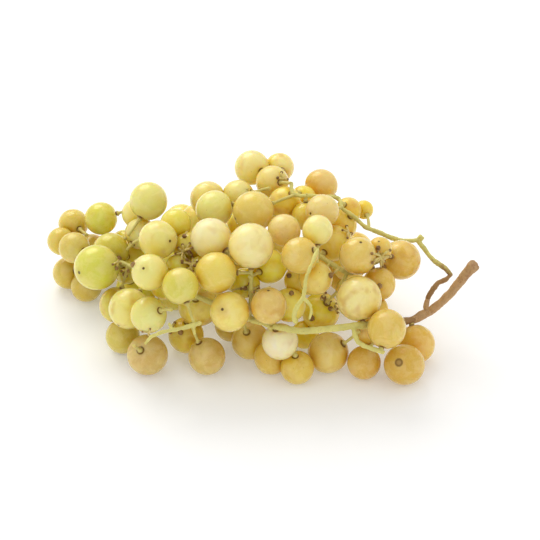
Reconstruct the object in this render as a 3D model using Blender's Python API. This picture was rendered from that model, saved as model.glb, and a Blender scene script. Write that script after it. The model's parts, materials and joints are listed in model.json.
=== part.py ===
"""A bunch of pale table grapes with its stems, lying on its side on a table.

+X runs from the tip of the bunch to the cut end of its stalk, -Y is the front and +Z is up.
Sizes are in millimetres until a mesh is made.  Every berry and every piece of stem is described
in a tilted front view: how far across, how far up that view and how far back along the line of
sight.  The berries start on the skin of a long flattened body or some layers beneath it.
They are then moved apart until none overlap.  Berries that grew pressed together are one piece.
"""
import math

import bmesh
import bpy
import numpy as np
from mathutils import Vector

# Driving dimensions
MM = 0.001
LEAN = math.radians(35)         # how far the front view looks down
SIGHT = 1200.0                  # distance from which the front view is taken
CLEAR = 0.35                    # air between neighbouring pieces
PRESS = 1.25                    # how far berries that are one piece sink into each other
LAYER = 9.0                     # depth of one layer of berries
HOLLOW = 0.08                   # dip at a berry's stalk, as a share of its radius
ROUNDS = 2600                   # steps of moving the berries apart
TABLE_REACH = 11.0              # berries that start no higher than this come down to the table

ACROSS = np.array((1.0, 0.0, 0.0))
UP = np.array((0.0, math.sin(LEAN), math.cos(LEAN)))
BACK = np.array((0.0, math.cos(LEAN), -math.sin(LEAN)))

# The body of the bunch, from tip to stalk.  At each place across: the middle of its depth,
# half its depth, the height of its middle and half its height.
BODY = (
    (-92, 52, 10, 22, 8),
    (-82, 54, 14, 24, 12),
    (-71, 48, 20, 25, 17),
    (-59, 34, 30, 27, 24),
    (-50, 29, 38, 29, 28),
    (-25, 28, 39, 31, 30),
    (-2, 32, 44, 33, 32),
    (22, 30, 40, 32, 31),
    (39, 22, 34, 28, 27),
    (55, 14, 28, 23, 21),
    (66, 6, 8, 12, 9),
)
SQUARE = 2.6                    # roundness of the body's section: 2 is an ellipse

# Berries that stand clear: across, up, layers beneath the skin, diameter.
SINGLE = (
    (-72, 44, 0.0, 19), (-71, 65, 1.0, 14), (-51, 72, 0.2, 16), (-47, 56, 0.0, 16),
    (-50, 42, 0.0, 15), (-59, 27, 0.6, 17), (-51, 24.5, 0.0, 15), (-37.5, 36.5, 0.0, 15),
    (-22.5, 42, 0.7, 17), (-25, 56, 0.0, 17), (-8, 53, 0.0, 18.5), (-7, 68, 0.5, 17),
    (1, 80.5, 0.3, 14), (6, 60, 0.6, 13.5), (12.5, 49, 0.3, 15), (20, 60, -0.6, 12.5),
    (21.5, 79, 1.0, 14), (22, 67.5, 0.5, 14), (55, 47.5, 0.6, 16.5), (37.5, 31, 0.0, 18.5),
    (48.5, 18.5, 0.0, 16), (56, 3.5, 0.8, 17), (39, 4.5, 0.6, 14), (24.5, 8, 0.0, 17),
    (4, 13.5, -0.3, 15), (-1, 28, 0.2, 15), (-16.5, 26, 0.0, 16.5), (-26.5, 7, 0.2, 15.5),
    (-51, 7, 0.2, 17), (61.5, 12, 0.6, 16),
)

# Berries pressed together, given in the same way.
PRESSED = (
    ((-82, 52.5, 1.0, 13.5), (-87, 54.5, 2.0, 12), (-81, 61, 2.0, 13)),
    ((-91, 41.5, 1.0, 14), (-75, 30.5, 0.9, 13.5)),
    ((-65, 33.5, 1.0, 15), (-60.5, 9.5, 0.4, 14.5)),
    ((-66, 51, 2.0, 15.5), (-60, 42, 2.6, 10)),
    ((-55, 58.5, 1.6, 13.5), (-56, 67, 2.4, 12.5)),
    ((-40, 63, 1.9, 13), (-33, 53, 1.6, 12.5), (-39, 45.5, 2.0, 10), (-45, 35.5, 1.4, 12.5),
     (-28, 43.5, 1.6, 12)),
    ((-23.5, 69, 0.6, 15.5), (-26.5, 73, 1.6, 15), (-13, 74.5, 1.6, 13.5)),
    ((-7.5, 86.5, 0.0, 15), (4, 86.5, 0.8, 12.5)),
    ((6.5, 72, 1.4, 14), (14, 73.5, 2.0, 11), (15, 66, 1.6, 12)),
    ((27, 55, 1.0, 15), (30, 62.5, 1.2, 13.5), (33, 68.5, 1.4, 11), (39.5, 68.5, 1.0, 8)),
    ((37, 49, 0.8, 15.5), (45.5, 51, 1.4, 10)),
    ((46, 37.5, 1.3, 13.5), (45, 28, 1.4, 10), (42, 17, 1.4, 12.5)),
    ((0, 45.5, 1.1, 14.5), (-11, 37.5, 1.6, 12.5)),
    ((19, 40, 0.9, 14), (12.5, 39, 1.6, 12.5), (8, 28.5, 1.3, 14)),
    ((22.5, 27.5, 1.1, 16), (14, 15, 1.4, 12)),
    ((12, 1.5, 0.0, 14), (2, 0.5, 0.2, 14.5), (-10.5, 15.5, 0.9, 16), (-16, 20, 1.8, 14)),
    ((-30, 29.5, 0.9, 17), (-36, 15, 1.2, 15)),
)

# Rows of berries down the back of the bunch: place across and how many, from top to table.
# Each row but the first also has one berry in the core.
BACK_ROWS = ((-76, 2), (-60, 3), (-44, 4), (-28, 4), (-12, 4), (4, 4), (20, 4), (34, 3))
BACK_TOP = math.radians(26)     # direction of a back row's first berry, seen along the bunch
BACK_FOOT = math.radians(-66)   # and of its last one
BACK_SIZES = (16.5, 13.5, 15.5, 17.5, 14, 16, 12.5)
BACK_INSET = 7.5
STRAY_ACROSS = 6.0              # how far a back row's berries stray from their row,
STRAY_TURN = math.radians(9)    # from their even spacing
STRAY_DEPTH = 4.0               # and from the skin
CORE_SIZE = 14.5                # a berry in the core of the bunch
CORE_LIFT = 9.0                 # how far it lies above the middle of the section
JOINS_FRONT = {0: 1}            # the back row that is one piece with a pressed group

# Where a berry's stalk can be seen: direction from its middle in the front view.
STALKS = {
    "berry_02": (1.0, 0.3, -0.1), "berry_04": (-0.6, 0.1, 0.7), "berry_07": (0.65, 0.2, -0.7),
    "berry_16": (0.0, -1.0, -0.2), "berry_17": (0.7, -0.6, 0.1), "berry_19": (-0.6, 0.2, -0.6),
    "berry_22": (-0.3, 0.1, -0.9), "berry_28": (-0.4, 0.7, -0.5), "berry_29": (-0.3, 0.2, -0.9),
}

# Stems: each route is a list of (across, up, back), with its diameters at its two ends.
PEDUNCLE = (((85, 44.5, -8), (81.4, 40.4, -4), (75.4, 33, 2), (67.5, 26, 7), (61.5, 22.8, 7)), 4.2, 3.2)
PEDUNCLE_CUT = (((85.9, 45.4, -9), (83.8, 43.1, -6.6)), 5.6, 4.0)
RACHIS = (((60.2, 22.3, 6), (52, 21, -4), (44, 20, -16), (38, 20, -24), (24, 18.5, -27),
           (10, 18, -26), (-9, 23, -18), (-28, 31, -10), (-48, 40, -2), (-64, 47, 10)), 3.0, 1.8)
RACHIS_FORK = (((35, 19.5, -25), (37, 13, -29), (42, 10.5, -30), (48, 8.5, -29)), 2.2, 1.6)
RACHIS_TWIG = (((-9, 23, -18), (-8, 32, -20), (-8, 42, -24)), 2.0, 1.6)
WING_STEM = (((65.8, 29.6, 9), (66.6, 32, 9), (68.2, 35, 9), (70.8, 38, 10), (74, 39.3, 11), (76, 41.3, 12),
              (73.5, 44, 12), (68, 48, 13), (64.6, 52.6, 14), (62, 55.8, 14), (57, 55.2, 13),
              (52, 56.5, 11), (46, 59, 8), (40, 61.5, 5), (34.5, 66.5, 3), (30, 69.5, 2),
              (28.8, 73.5, 5), (17, 74.5, 3), (10, 75, 4), (9, 80, 6)), 2.0, 1.5)
WING_STUB = (((62.4, 55.4, 14), (64, 57.4, 13.5)), 2.0, 2.6)
FRONT_LATERAL = (((11, 21.5, -29.5), (10, 24, -37), (12, 29, -41), (14, 32, -41), (15.5, 41, -40),
                  (18, 47, -38), (20, 52, -33)), 2.4, 1.6)
FRONT_LOOP = (((14, 32, -41), (17, 28.5, -41), (17.5, 25.5, -40), (16.5, 22.5, -37)), 1.6, 1.4)
LEFT_LATERAL = (((-29, 21, -33), (-36, 19, -36), (-41, 18, -37), (-46, 17, -37), (-50, 15.2, -36),
                 (-52.5, 12, -35)), 2.2, 1.5)
LEFT_TWIG_LOW = (((-32, 20, -34), (-31.5, 16, -34)), 1.6, 1.4)
LEFT_TWIG_HIGH = (((-41, 18, -37), (-42.5, 21, -39)), 1.6, 1.4)
CROWN_STEM = (((21, 49, -8), (28, 44.5, -12), (34, 42, -12), (40, 44.5, -9), (47, 48, -7)), 1.8, 2.2)
CROWN_TWIG_RIGHT = (((46, 47.8, -7), (50, 49, -6)), 1.6, 1.4)
CROWN_TWIG_LOW = (((33, 42.5, -12), (29.5, 37, -13)), 1.6, 1.4)
STEM_SIDES = 8
STEM_STEP = 3.0                 # distance between a stem's rings

# Colours, in linear light
GREEN_SKIN = (0.62, 0.62, 0.17)
GOLD_SKIN = (0.72, 0.50, 0.20)
STEM_GREEN = (0.47, 0.45, 0.10)
STEM_BROWN = (0.26, 0.15, 0.07)
HALF_LENGTH = 90.0              # where the skin is all green to the left and all gold to the right


def in_view(across, up, back):
    """The place in the part's own axes of a place given in the front view."""
    spread = 1 + back / SIGHT
    return across * spread * ACROSS + up * spread * UP + back * BACK


def section(across):
    """The body's section at a place across: middle and half of its depth, then of its height."""
    stations = np.array(BODY, float)
    return [np.interp(across, stations[:, 0], stations[:, column]) for column in range(1, 5)]


def skin_back(across, up):
    """How far back the line of sight meets the body's skin, or passes nearest to it."""
    middle, half_depth, centre, half_height = section(across)
    back = np.arange(-60.0, 100.0, 0.5)
    y = up * UP[1] + back * BACK[1]
    z = up * UP[2] + back * BACK[2]
    inside = (np.abs((y - middle) / half_depth) ** SQUARE
              + np.abs((z - centre) / half_height) ** SQUARE)
    if inside.min() < 1:
        return back[np.argmax(inside < 1)]
    return back[np.argmin(inside)]


def front_berry(across, up, layers, diameter):
    """Centre and radius of a berry given by its place in the front view."""
    back = skin_back(across, up) + diameter / 2 + layers * LAYER
    return in_view(across, up, back), diameter / 2


def back_row(across, count, row):
    """Centres and radii of a row of berries down the back of the body."""
    middle, half_depth, centre, half_height = section(across)
    berries = []
    for place in range(count):
        turn = BACK_TOP + (BACK_FOOT - BACK_TOP) * (place + 0.25 * (row % 2)) / max(count - 1, 1)
        turn += STRAY_TURN * math.sin(2.7 * row + 4.1 * place)
        inset = BACK_INSET + STRAY_DEPTH * math.sin(1.9 * row + 5.3 * place)
        stray = STRAY_ACROSS * math.sin(3.9 * row + 2.3 * place)
        y = middle + (half_depth - inset) * abs(math.cos(turn)) ** (2 / SQUARE)
        rise = math.copysign(abs(math.sin(turn)) ** (2 / SQUARE), turn)
        z = centre + (half_height - BACK_INSET) * rise
        size = BACK_SIZES[(place + row) % len(BACK_SIZES)]
        berries.append((np.array((across + stray, y, z)), size / 2))
    if row not in JOINS_FRONT:
        berries.append((np.array((across, middle, centre + CORE_LIFT)), CORE_SIZE / 2))
    return berries


def berry_pieces():
    """Every piece made of berries: its name and the berries that it joins."""
    pieces = [("berry_%02d" % (number + 1), [front_berry(*row)]) for number, row in enumerate(SINGLE)]
    groups = [[front_berry(*row) for row in group] for group in PRESSED]
    for row, (across, count) in enumerate(BACK_ROWS):
        berries = back_row(across, count, row)
        if row in JOINS_FRONT:
            groups[JOINS_FRONT[row]].extend(berries)
        else:
            groups.append(berries)
    pieces += [("berry_group_%02d" % (number + 1), group) for number, group in enumerate(groups)]
    return pieces


def smooth_route(route):
    """Evenly spaced points on a smooth curve through a route's own points."""
    points = [in_view(*point) for point in route]
    ends = [2 * points[0] - points[1]] + points + [2 * points[-1] - points[-2]]
    curve = []
    for before, start, end, after in zip(ends, ends[1:], ends[2:], ends[3:]):
        steps = max(1, round(np.linalg.norm(end - start) / STEM_STEP))
        for step in range(steps):
            t = step / steps
            curve.append(0.5 * (2 * start + (end - before) * t
                                + (2 * before - 5 * start + 4 * end - after) * t ** 2
                                + (3 * start - before - 3 * end + after) * t ** 3))
    return curve + [points[-1]]


def stem_pieces():
    """Every piece of stem: its name, its colour and the branches that it joins."""
    return (
        ("peduncle", STEM_BROWN, (PEDUNCLE, PEDUNCLE_CUT)),
        ("rachis", STEM_GREEN, (RACHIS, RACHIS_FORK, RACHIS_TWIG)),
        ("wing_stem", STEM_GREEN, (WING_STEM, WING_STUB)),
        ("front_lateral", STEM_GREEN, (FRONT_LATERAL, FRONT_LOOP)),
        ("left_lateral", STEM_GREEN, (LEFT_LATERAL, LEFT_TWIG_LOW, LEFT_TWIG_HIGH)),
        ("crown_lateral", STEM_GREEN, (CROWN_STEM, CROWN_TWIG_RIGHT, CROWN_TWIG_LOW)),
    )


def stem_balls():
    """Every stem as a row of balls, which the berries must keep clear of."""
    centres = []
    radii = []
    for _, _, branches in stem_pieces():
        for route, first, last in branches:
            curve = smooth_route(route)
            for start, end in zip(curve, curve[1:]):
                centres += [start, (start + end) / 2]
            centres.append(curve[-1])
            radii += list(np.linspace(first / 2, last / 2, 2 * len(curve) - 1) + 0.25)
    return np.array(centres), np.array(radii)


def bonds_of(pieces):
    """Pairs of berries pressed together: each joins the nearest earlier berry of its piece."""
    bonds = []
    start = 0
    for _, berries in pieces:
        for member in range(1, len(berries)):
            gaps = [np.linalg.norm(berries[member][0] - berries[other][0]) for other in range(member)]
            bonds.append((start + int(np.argmin(gaps)), start + member))
        start += len(berries)
    return bonds


def moved_apart(pieces):
    """Centres of all berries, moved until they clear each other, the stems and the table."""
    aim = np.array([centre for _, berries in pieces for centre, _ in berries])
    radius = np.array([size for _, berries in pieces for _, size in berries])
    owner = np.array([index for index, (_, berries) in enumerate(pieces) for _ in berries])
    bonds = bonds_of(pieces)
    stems, stem_radius = stem_balls()
    wanted = radius[:, None] + radius[None] + np.where(owner[:, None] == owner[None], 0.0, CLEAR)
    for first, second in bonds:
        wanted[first, second] = wanted[second, first] = radius[first] + radius[second] - PRESS
    np.fill_diagonal(wanted, 0.0)
    stem_wanted = radius[:, None] + stem_radius[None] + CLEAR
    view = np.array((ACROSS, UP, BACK))
    freedom = np.array((0.45, 0.45, 1.0))
    place = aim.copy()
    low = np.nonzero(aim[:, 2] - radius < TABLE_REACH)[0]
    for step in range(ROUNDS):
        offset = place[:, None] - place[None]
        gap = np.linalg.norm(offset, axis=2) + np.eye(len(place))
        push = (offset / gap[..., None] * np.clip(wanted - gap, 0, None)[..., None] * 0.5).sum(1)
        offset = place[:, None] - stems[None]
        gap = np.linalg.norm(offset, axis=2)
        short = np.clip(stem_wanted - gap, 0, None)
        touching = np.maximum((short > 0).sum(1), 1)
        push += (offset / gap[..., None] * short[..., None]).sum(1) / touching[:, None]
        for first, second in bonds:
            reach = place[second] - place[first]
            length = np.linalg.norm(reach)
            pull = reach / length * max(length - wanted[first, second], 0) * 0.5
            push[first] += pull
            push[second] -= pull
        place += 0.6 * ((push @ view.T) * freedom) @ view
        hold = 0.08 * (1 - step / ROUNDS)
        place += (((aim - place) @ view.T) * (hold, hold, 0.05 * hold)) @ view
        drop = place[low, 2] - radius[low]
        place[low] += 0.02 * (drop / -BACK[2])[:, None] * BACK
        place[:, 2] = np.maximum(place[:, 2], radius)
    return place, radius


def stalk_of(name, centre, stems):
    """Direction from a berry's middle to its stalk: as given, or towards the nearest stem."""
    if name in STALKS:
        across, up, back = STALKS[name]
        return Vector(across * ACROSS + up * UP + back * BACK).normalized()
    nearest = stems[np.argmin(np.linalg.norm(stems - centre, axis=1))]
    return Vector(nearest - centre).normalized()


def material(name, colour, roughness):
    """A Principled material of one colour."""
    made = bpy.data.materials.new(name)
    made.use_nodes = True
    shader = made.node_tree.nodes["Principled BSDF"]
    shader.inputs["Base Color"].default_value = (*colour, 1.0)
    shader.inputs["Roughness"].default_value = roughness
    return made


def skin_colour(across):
    """Colour of a berry by its place: green at the tip of the bunch, golden at the stalk."""
    gold = min(max((across + HALF_LENGTH) / (2 * HALF_LENGTH), 0), 1)
    return [green + (golden - green) * gold for green, golden in zip(GREEN_SKIN, GOLD_SKIN)]


def new_object(name, bm, centre, colour, roughness):
    """An object at a place in millimetres, from a mesh in millimetres about that place."""
    bmesh.ops.scale(bm, vec=(MM, MM, MM), verts=bm.verts)
    bmesh.ops.recalc_face_normals(bm, faces=bm.faces)
    mesh = bpy.data.meshes.new(name)
    bm.to_mesh(mesh)
    bm.free()
    mesh.shade_smooth()
    mesh.materials.append(material(name, colour, roughness))
    made = bpy.data.objects.new(name, mesh)
    made.location = Vector(centre) * MM
    bpy.context.scene.collection.objects.link(made)
    return made


def berry(name, centre, radius, stalk, fineness):
    """A round berry with a small hollow at its stalk."""
    bm = bmesh.new()
    bmesh.ops.create_uvsphere(bm, u_segments=fineness[0], v_segments=fineness[1], radius=radius)
    top = max(bm.verts, key=lambda vert: vert.co.z)
    top.co.z -= HOLLOW * radius
    made = new_object(name, bm, centre, skin_colour(centre[0]), 0.3)
    made.rotation_mode = "QUATERNION"
    made.rotation_quaternion = stalk.to_track_quat("Z", "X")
    return made


def tube(name, route, first, last, colour):
    """A round tapered stem along a route, closed at both ends."""
    curve = [Vector(point) for point in smooth_route(route)]
    origin = curve[0]
    bm = bmesh.new()
    side = (curve[1] - curve[0]).orthogonal().normalized()
    rings = []
    for index, point in enumerate(curve):
        ahead = (curve[min(index + 1, len(curve) - 1)] - curve[max(index - 1, 0)]).normalized()
        side = (side - ahead * side.dot(ahead)).normalized()
        other = ahead.cross(side)
        radius = (first + (last - first) * index / (len(curve) - 1)) / 2
        ring = []
        for turn in range(STEM_SIDES):
            angle = 2 * math.pi * turn / STEM_SIDES
            spoke = radius * (math.cos(angle) * side + math.sin(angle) * other)
            ring.append(bm.verts.new(point - origin + spoke))
        rings.append(ring)
    for near, far in zip(rings, rings[1:]):
        for turn in range(STEM_SIDES):
            after = (turn + 1) % STEM_SIDES
            bm.faces.new((near[turn], near[after], far[after], far[turn]))
    bm.faces.new(list(reversed(rings[0])))
    bm.faces.new(rings[-1])
    return new_object(name, bm, origin, colour, 0.6)


def united(pieces):
    """Joins the other pieces to the first with live Boolean unions, and hides them as guides."""
    for guide in pieces[1:]:
        union = pieces[0].modifiers.new("join " + guide.name, "BOOLEAN")
        union.operation = "UNION"
        union.solver = "EXACT"
        union.object = guide
        guide.hide_render = True
        guide.display_type = "WIRE"
    return pieces[0]


def make_stems():
    for name, colour, branches in stem_pieces():
        tubes = []
        for number, (route, first, last) in enumerate(branches):
            branch = name if number == 0 else "%s_branch_%d" % (name, number)
            tubes.append(tube(branch, route, first, last, colour))
        united(tubes)


def make_berries():
    pieces = berry_pieces()
    place, radius = moved_apart(pieces)
    stems, _ = stem_balls()
    index = 0
    for name, berries in pieces:
        fineness = (12, 7) if len(berries) == 1 else (10, 6)
        members = []
        for number in range(len(berries)):
            member = name if number == 0 else "%s_member_%d" % (name, number)
            stalk = stalk_of(name, place[index], stems)
            members.append(berry(member, place[index], radius[index], stalk, fineness))
            index += 1
        united(members)


def stand_on_origin():
    """Moves everything so that the middle of its footprint is the origin."""
    bpy.context.view_layer.update()
    seen = [made for made in bpy.data.objects if not made.hide_render]
    graph = bpy.context.evaluated_depsgraph_get()
    corners = []
    for made in seen:
        shape = made.evaluated_get(graph)
        corners += [made.matrix_world @ vert.co for vert in shape.data.vertices]
    low = [min(corner[axis] for corner in corners) for axis in range(3)]
    high = [max(corner[axis] for corner in corners) for axis in range(3)]
    shift = Vector((-(low[0] + high[0]) / 2, -(low[1] + high[1]) / 2, -low[2]))
    for made in bpy.data.objects:
        made.location += shift


for old in list(bpy.data.objects):
    bpy.data.objects.remove(old)
make_stems()
make_berries()
stand_on_origin()
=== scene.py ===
"""Looks of a bunch of pale table grapes: berries, stems, stalks and dried berries on a pale floor.

Berry sizes and places are worked out in millimetres and scaled to metres when a mesh is made.
The front view used for small loose pieces is given as how far across and how far up, in millimetres.
"""

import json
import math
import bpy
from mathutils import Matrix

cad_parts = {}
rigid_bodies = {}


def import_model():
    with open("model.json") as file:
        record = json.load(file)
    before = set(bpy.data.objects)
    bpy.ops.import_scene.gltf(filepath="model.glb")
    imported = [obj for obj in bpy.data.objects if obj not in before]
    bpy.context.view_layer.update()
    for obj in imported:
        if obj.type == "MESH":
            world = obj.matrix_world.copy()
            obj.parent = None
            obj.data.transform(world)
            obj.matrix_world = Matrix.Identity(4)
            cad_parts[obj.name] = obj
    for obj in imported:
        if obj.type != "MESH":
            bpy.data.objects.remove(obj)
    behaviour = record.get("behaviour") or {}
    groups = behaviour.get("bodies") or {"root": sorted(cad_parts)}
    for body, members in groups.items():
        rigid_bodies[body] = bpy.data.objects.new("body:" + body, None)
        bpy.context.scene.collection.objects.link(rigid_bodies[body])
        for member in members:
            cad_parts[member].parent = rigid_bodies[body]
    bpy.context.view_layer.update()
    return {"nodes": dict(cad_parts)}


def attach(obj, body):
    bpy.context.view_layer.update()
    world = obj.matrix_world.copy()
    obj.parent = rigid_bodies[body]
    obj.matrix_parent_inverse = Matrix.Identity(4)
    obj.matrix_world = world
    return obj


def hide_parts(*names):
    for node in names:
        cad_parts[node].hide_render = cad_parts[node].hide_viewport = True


bl_info = {
    "name": "Bunch of Grapes",
    "version": (1, 0, 0),
    "blender": (4, 5, 0),
    "location": "View3D > Sidebar > Grapes",
    "description": "Berries, stems and dried berries of a bunch of table grapes",
    "category": "Object",
}

import bmesh
import bpy
import numpy as np
from bpy.props import FloatProperty, FloatVectorProperty, IntProperty, PointerProperty
from mathutils import Vector, noise
from mathutils.bvhtree import BVHTree

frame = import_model()

MM = 0.001
BODY = "root"
SEED = 11

# The front view, which looks down at the bunch
LEAN = math.radians(35)
ACROSS = np.array((1.0, 0.0, 0.0))
UP = np.array((0.0, math.sin(LEAN), math.cos(LEAN)))
BACK = np.array((0.0, math.cos(LEAN), -math.sin(LEAN)))
VIEW_ORIGIN = np.array((4.48, -31.81, 0.0))     # where the front view's zero lies on the floor
EYE_DISTANCE = 1200.0
EYE_AIM = 43.26                 # how far up the camera aims
LENS = 190.5
SENSOR = 36.0
KEY_TOWARDS = (-0.317, 0.585, 0.752)            # where the key light stands, a metre away

# How the berries are found again in the CAD pieces
FEWEST_CORNERS = 30             # corners of a CAD berry that always show
ON_SPHERE = 0.02                # how near to a berry's sphere its corners lie
SEED_CORNERS = 9                # corners that a sphere is first fitted to
PIT_DEPTH = 0.92                # the hollow's middle corner, as a share of the radius

TABLE_GAP = 0.02                # air under a berry that rests on the table
STALK_CLEAR = 0.8               # height of a thin stalk's middle that lies on the table

TIP_X = -50.0                   # the skin is green up to here, palest in the middle, then golden
MIDDLE_X = -2.0
STALK_X = 62.0

# Berries that differ from their neighbours: how far each goes towards a colour
RIPER = {
    "berry_02": 0.15, "berry_08": 0.12, "berry_09": 0.3, "berry_12": 0.25, "berry_13": 0.3, "berry_15": 0.3,
    "berry_17": 0.35, "berry_18": 0.15, "berry_19": 0.2, "berry_22": 0.7, "berry_23": 0.55, "berry_24": 0.1,
    "berry_26": 0.4, "berry_28": 0.35, "berry_29": 0.15, "berry_30": 0.25, "berry_group_02": 0.3,
    "berry_group_06": 0.15, "berry_group_09": 0.4, "berry_group_10": 0.35, "berry_group_12": 0.5,
    "berry_group_13": 0.35, "berry_group_15": 0.5, "berry_group_16": 0.35,
}
PALER = {
    "berry_10": 0.5, "berry_11": 0.6, "berry_16": 0.45, "berry_18": 0.3, "berry_20": 0.6, "berry_21": 0.2,
    "berry_25": 0.6, "berry_27": 0.2, "berry_group_07": 0.3, "berry_group_08": 0.5,
}
PEACH = {
    "berry_08": 0.15, "berry_12": 0.2, "berry_14": 0.3, "berry_15": 0.3, "berry_18": 0.2, "berry_20": 0.3,
    "berry_21": 0.35, "berry_24": 0.4, "berry_25": 0.25, "berry_26": 0.3, "berry_27": 0.15, "berry_28": 0.6,
    "berry_29": 0.75, "berry_group_01": 0.55, "berry_group_02": 0.6, "berry_group_03": 0.4,
    "berry_group_11": 0.3, "berry_group_16": 0.5, "berry_group_17": 0.4,
}
OLIVE = {"berry_group_04": 0.6, "berry_group_16": 0.1, "berry_group_17": 0.2}
WAXY = {
    "berry_03": 0.25, "berry_04": 0.2, "berry_05": 0.35, "berry_06": 0.35, "berry_07": 0.25,
    "berry_10": 0.55, "berry_11": 0.4, "berry_14": 0.15, "berry_16": 0.5, "berry_18": 0.2, "berry_20": 0.4,
    "berry_25": 0.75, "berry_group_05": 0.5, "berry_group_07": 0.15, "berry_group_08": 0.2,
}
# Berries deep in the bunch painted brighter and more golden, a painted glow of the light that passes through
# their neighbours
PAINTED_GLOW = {
    "berry_22": 0.15, "berry_group_06": 0.15, "berry_group_09": 0.5, "berry_group_10": 0.45,
    "berry_group_12": 0.1, "berry_group_13": 0.9, "berry_group_14": 0.25, "berry_group_15": 0.85,
    "berry_group_16": 0.15, "berry_group_17": 0.4, "berry_group_18": 0.2, "berry_group_19": 0.2,
    "berry_group_20": 0.2, "berry_group_21": 0.3, "berry_group_22": 0.3, "berry_group_23": 0.3,
    "berry_group_24": 0.2,
}

# Dried berries that never grew: across, up, width of the head
SHOT_BERRIES = (
    (8, 41, 2.2), (25.5, 41, 2.4), (22.5, 31.5, 2.6), (25.5, 27, 2.2), (17.5, 23, 2.6), (45.5, 52.5, 2.0),
    (51, 49, 2.4), (48, 44.5, 2.2), (46, 36.5, 2.4), (51.5, 29.5, 2.6), (59, 22, 2.2), (47, 10, 2.4),
    (33, 11.8, 2.0), (-63.5, 48, 2.6), (-57.5, 45.5, 2.4), (-27.5, 19, 2.4), (-37.5, 17, 2.4),
    (28.5, 72.5, 2.0), (29, 79.5, 1.9), (8.5, 81, 2.0), (-4, 38, 2.2), (-10.5, 35.5, 2.0),
    (-5, 35.5, 1.9), (2, 37, 2.0), (9, 33.5, 2.2), (-36, 57.5, 2.0), (-34, 50.5, 2.2), (-33.5, 46, 2.0),
    (-61, 41.5, 2.2), (-64.5, 44, 2.0),
)
# Sprays of bare twigs left in the creases: across, up, length and number of their twigs
SPRAYS = (
    (-36, 51, 4.5, 8), (-33, 45.5, 4, 6), (-60, 43, 4, 6), (-64, 46.5, 3, 4), (46.6, 48.6, 5, 7),
    (23.5, 31, 3, 4), (49.5, 30.5, 3, 5), (57.5, 25.5, 3.5, 5), (0, 36.5, 4, 4), (-8.6, 35, 4.5, 5),
    (31, 79, 3.5, 4), (-24, 20, 2.5, 4), (-41, 19, 2.5, 4), (28, 27, 3, 4), (5.5, 82, 2.5, 3),
    (-51, 17, 2.5, 3), (33, 59, 3, 4),
)
BARE_SCARS = ("berry_22",)      # berries that show a scar where their stalk was

# Knuckles that join the stems to the woody stalk: across, up, back and thickness of their points
KNUCKLES = (
    ((65.4, 25.4, 7, 3.2), (63.6, 24.2, 7, 4.1), (61.8, 23.0, 6.8, 3.7), (60.2, 22.3, 6, 3.3),
     (58.6, 22.0, 4.2, 2.9)),
    ((66.2, 31.0, 9, 1.9), (65.8, 29.4, 9, 2.4), (65.5, 27.8, 8.4, 2.5), (66.1, 26.4, 7.6, 3.1),
     (66.8, 25.4, 7, 3.4)),
)
# Thin stalks that lie in the creases: across, up of their points
LOOSE_STALKS = (
    ((-64.5, 67), (-62, 64.5), (-60, 61.5)),
    ((-8.5, 43.7), (-8.2, 39), (-8.6, 35)), ((-8.6, 35), (-12.5, 35.6), (-17, 34.6)),
    ((-8.6, 35), (-4.5, 34.4), (0, 36)), ((29, 79.4), (33.5, 77.7), (34.5, 72.6)),
    ((29.5, 75.2), (33, 76.2)), ((46.5, 48.3), (51, 49)), ((46.5, 48.3), (47.8, 44.6)),
    ((46.5, 48.3), (43, 46)), ((47.5, 31.5), (54.5, 29.8), (58.8, 25.6)),
)


def colour_setting(name, description, default, lowest=0.0):
    """A colour that a user would change."""
    return FloatVectorProperty(name=name, description=description, default=default, subtype="COLOR",
                               min=lowest, max=1)


def number_setting(name, description, default, lowest, **limits):
    """A number that a user would change."""
    return FloatProperty(name=name, description=description, default=default, min=lowest, **limits)


class BerrySettings(bpy.types.PropertyGroup):
    segments: IntProperty(name="Segments", description="Faces around a berry", default=48, min=12)
    rings: IntProperty(name="Rings", description="Faces from stalk to tip", default=44, min=10)
    swell: number_setting("Swell", "Growth of a berry until its neighbours stop it, as a share of its radius",
                          0.018, 0, max=0.06, subtype="FACTOR")
    uneven: number_setting("Unevenness", "Departure from a round shape, as a share of the radius",
                           0.014, 0, max=0.05, subtype="FACTOR")
    softness: number_setting("Contact Softness", "Width over which a berry flattens against its neighbour",
                             0.0006, 0, unit="LENGTH")
    green_skin: colour_setting("Green Skin", "Skin at the tip of the bunch", (0.66, 0.64, 0.07))
    pale_skin: colour_setting("Pale Skin", "Skin in the middle of the bunch", (0.82, 0.70, 0.17))
    gold_skin: colour_setting("Golden Skin", "Skin at the stalk end", (0.74, 0.48, 0.065))
    amber_skin: colour_setting("Amber Skin", "Ripest skin", (0.56, 0.30, 0.045))
    peach_skin: colour_setting("Peach Skin", "Tanned skin low on the bunch", (0.61, 0.42, 0.12))
    olive_skin: colour_setting("Olive Skin", "Skin of berries in the shade", (0.52, 0.46, 0.06))
    waxy_skin: colour_setting("Waxy Skin", "Skin under a thick white bloom", (0.95, 0.84, 0.47))
    # painted glow: the bright gold that deeper berries are drawn towards, for light through their neighbours
    painted_glow_skin: colour_setting("Honey Skin", "Clear skin of berries that lie deeper", (0.96, 0.74, 0.05))
    depth_tint: colour_setting("Depth Tint", "Tint of the clear outer skin, deeper at an edge",
                               (0.96, 0.88, 0.60), lowest=0.01)
    # painted shade: how far out from a neighbour the creases are painted darker and more golden
    crease_shade_reach: number_setting("Crease Reach", "How far out of a crease the skin is more golden",
                                 0.0034, 0.0001, unit="LENGTH")
    bloom: number_setting("Bloom", "Strength of the waxy white bloom", 0.24, 0, max=1, subtype="FACTOR")


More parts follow.
